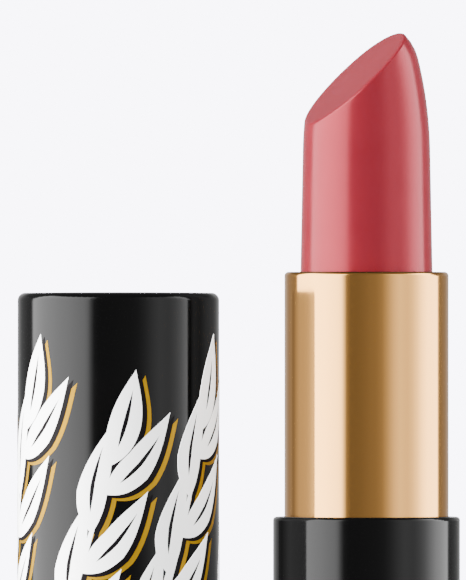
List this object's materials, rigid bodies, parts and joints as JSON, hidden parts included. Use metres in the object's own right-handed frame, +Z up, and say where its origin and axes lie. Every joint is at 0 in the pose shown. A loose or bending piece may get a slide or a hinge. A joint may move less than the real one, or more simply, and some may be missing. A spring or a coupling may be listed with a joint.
{
  "type": "lipstick case",
  "caption": "Swivel lipstick case, wound out, with its tall round cap standing beside it; turning the gold sleeve raises and lowers the slant-cut lipstick.",
  "frame": {"origin": "on the swivel axis at the underside of the foot", "axes": "+Z up along the swivel axis; the cap stands on the -X side; -Y is the side that the lipstick's slanted face leans towards"},
  "size_m": [0.0433, 0.0194, 0.0765],
  "materials": {
    "black_lacquer": "gloss black lacquer on drawn aluminium",
    "black_plastic": "gloss black moulded plastic",
    "gold_anodised": "bright gold anodised",
    "white_plastic": "satin, unpigmented acetal",
    "bright_steel": "turned and plated",
    "silicone": "translucent silicone",
    "paper": "blank, coated",
    "lipstick_wax": "satin rose red wax",
    "print_white": "white screen-printed ink",
    "print_gold": "gold foil, hot stamped",
    "print_shadow": "matt black-brown ink"
  },
  "bodies": {
    "base": {"foot_cover": "black_lacquer", "inner_base": "black_plastic", "balance_weight": "bright_steel", "shade_label": "paper", "inner_body": "white_plastic", "brake_ring": "silicone"},
    "sleeve": {"gold_sleeve": "gold_anodised", "spiral": "white_plastic"},
    "carrier": {"cup": "white_plastic", "lipstick_bullet": "lipstick_wax"},
    "cap": {"cap_shell": "black_lacquer", "cap_liner": "black_plastic"}
  },
  "joints": [
    {"name": "sleeve_twist", "type": "hinge", "parent": "base", "child": "sleeve", "pos_m": [0, 0, 0.03], "axis": [0, 0, 1], "range_deg": [0, 450.05]},
    {"name": "bullet_rise", "type": "slide", "parent": "base", "child": "carrier", "axis": [0, 0, 1], "range_m": [-0.025, 0]},
    {"name": "cap_lift", "type": "slide", "parent": "base", "child": "cap", "axis": [0, 0, 1], "range_m": [0, 0.056]}
  ],
  "couplings": [
    {"joint": "sleeve_twist", "follows": "bullet_rise", "rad_per_m": -314.16}
  ]
}
